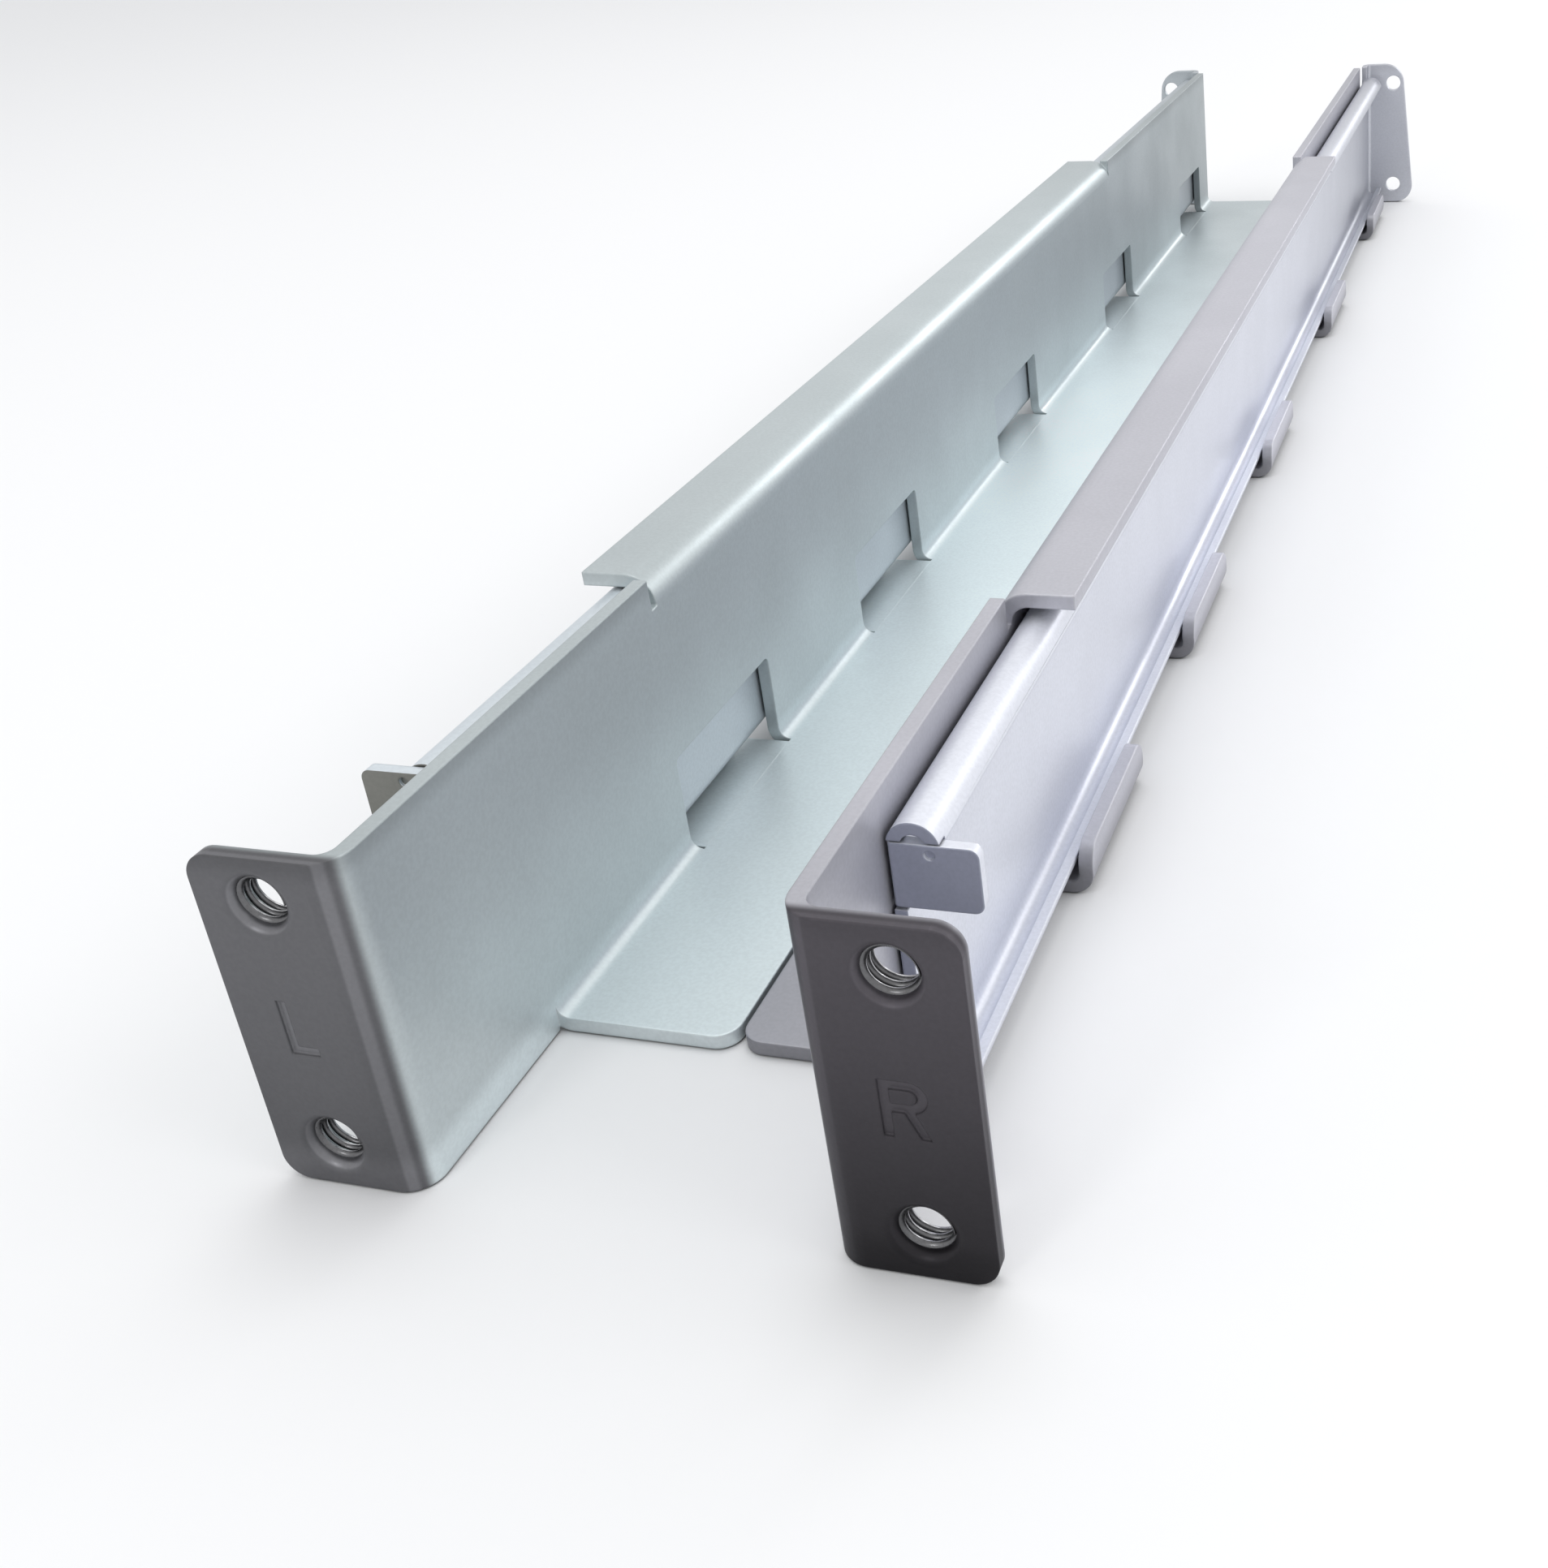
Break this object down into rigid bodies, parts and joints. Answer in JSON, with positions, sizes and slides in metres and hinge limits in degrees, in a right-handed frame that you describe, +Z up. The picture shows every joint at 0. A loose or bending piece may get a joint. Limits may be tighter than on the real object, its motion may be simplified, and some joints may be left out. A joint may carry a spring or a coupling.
{
  "type": "rack rail kit",
  "caption": "Pair of one-unit telescoping rack rails with inward shelves, hooked windows, tapped front ears and rolled rear slides, laid side by side",
  "frame": {"origin": "middle of the footprint of both rails, on the surface they stand on", "axes": "+X runs across the rack toward the right-hand rail, +Y from the front ears to the rear ears, +Z up"},
  "size_m": [0.0842, 0.4564, 0.0432],
  "materials": {
    "rail": "satin bright zinc plate",
    "slide": "satin bright zinc plate"
  },
  "bodies": {
    "left_rail": {"front_rail_left": "rail"},
    "right_rail": {"front_rail_right": "rail"},
    "left_slide": {"rear_slider_left": "slide"},
    "right_slide": {"rear_slider_right": "slide"}
  },
  "joints": [
    {"name": "left_reach", "type": "slide", "parent": "left_rail", "child": "left_slide", "axis": [0, 1, 0], "range_m": [0, 0.27]},
    {"name": "right_reach", "type": "slide", "parent": "right_rail", "child": "right_slide", "axis": [0, 1, 0], "range_m": [0, 0.27]},
    {"name": "rack_width", "type": "slide", "parent": "left_rail", "child": "right_rail", "axis": [1, 0, 0], "range_m": [0, 0.396]}
  ]
}
